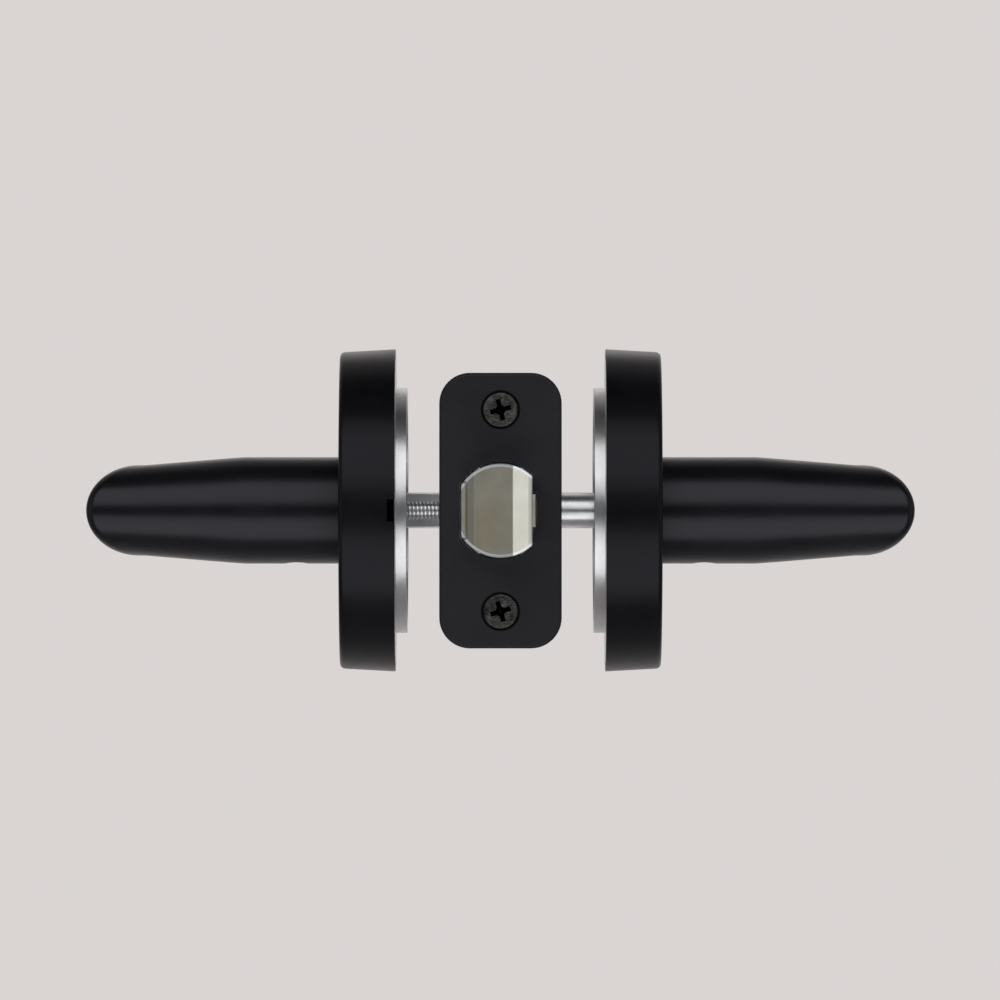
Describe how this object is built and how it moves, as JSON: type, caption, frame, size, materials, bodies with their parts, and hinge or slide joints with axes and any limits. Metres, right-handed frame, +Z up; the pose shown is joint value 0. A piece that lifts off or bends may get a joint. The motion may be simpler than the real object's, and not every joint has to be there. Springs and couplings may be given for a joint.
{
  "type": "door lever set",
  "caption": "Passage lever set for a hinged door, with round roses, bent bar levers and a sprung tubular latch with a bevelled bolt.",
  "frame": {"origin": "where the spindle's axis crosses the middle of the door's thickness, which is also where the latch's axis meets the spindle", "axes": "+X along the spindle to the exterior side, +Y along the latch from the door's edge into the door, which is the way the levers point, +Z up"},
  "size_m": [0.1753, 0.1841, 0.0684],
  "materials": {
    "black_paint": "matt",
    "black_screw": "satin",
    "bolt_metal": "satin, slightly stained",
    "die_cast": "as cast",
    "zinc_plate": "bright zinc",
    "spring_steel": "oiled",
    "nylon": "moulded"
  },
  "bodies": {
    "root": {"latch_faceplate": "black_paint", "latch_backplate": "zinc_plate", "latch_barrel": "zinc_plate", "bolt_guide": "nylon", "latch_case_right": "zinc_plate", "latch_case_left": "zinc_plate", "case_rivets": "zinc_plate", "faceplate_screws": "black_screw", "exterior_posts": "zinc_plate", "mounting_screws": "zinc_plate", "exterior_rose": "black_paint", "exterior_mounting_plate": "zinc_plate", "exterior_spring_cup": "zinc_plate", "exterior_return_spring": "spring_steel", "exterior_shank_bushing": "nylon", "interior_rose": "black_paint", "interior_mounting_plate": "zinc_plate", "interior_spring_cup": "zinc_plate", "interior_return_spring": "spring_steel", "interior_shank_bushing": "nylon"},
    "handles": {"spindle": "zinc_plate", "spindle_hub": "die_cast", "lever_set_screws": "black_screw", "exterior_lever": "black_paint", "exterior_drive_sleeve": "die_cast", "exterior_retaining_ring": "spring_steel", "interior_lever": "black_paint", "interior_drive_sleeve": "die_cast", "interior_retaining_ring": "spring_steel"},
    "retractor": {"retractor_fork": "die_cast", "spring_guide_pin": "zinc_plate", "bolt_spring": "spring_steel"},
    "bolt": {"latch_bolt": "bolt_metal", "bolt_tail": "zinc_plate"}
  },
  "joints": [
    {"name": "lever_turn", "type": "hinge", "parent": "root", "child": "handles", "pos_m": [0, 0, 0], "axis": [-1, 0, 0], "range_deg": [0, 60], "stiffness_Nm_per_rad": 0.6, "springref_deg": -57.3, "deforming": ["exterior_return_spring", "interior_return_spring"]},
    {"name": "retractor_slide", "type": "slide", "parent": "root", "child": "retractor", "axis": [0, 1, 0], "range_m": [0, 0.012]},
    {"name": "bolt_slide", "type": "slide", "parent": "retractor", "child": "bolt", "axis": [0, 1, 0], "range_m": [0, 0.012], "stiffness_N_per_m": 400, "springref_m": -0.0125, "deforming": ["bolt_spring"]}
  ],
  "couplings": [
    {"joint": "retractor_slide", "follows": "lever_turn", "m_per_rad": 0.011459}
  ]
}
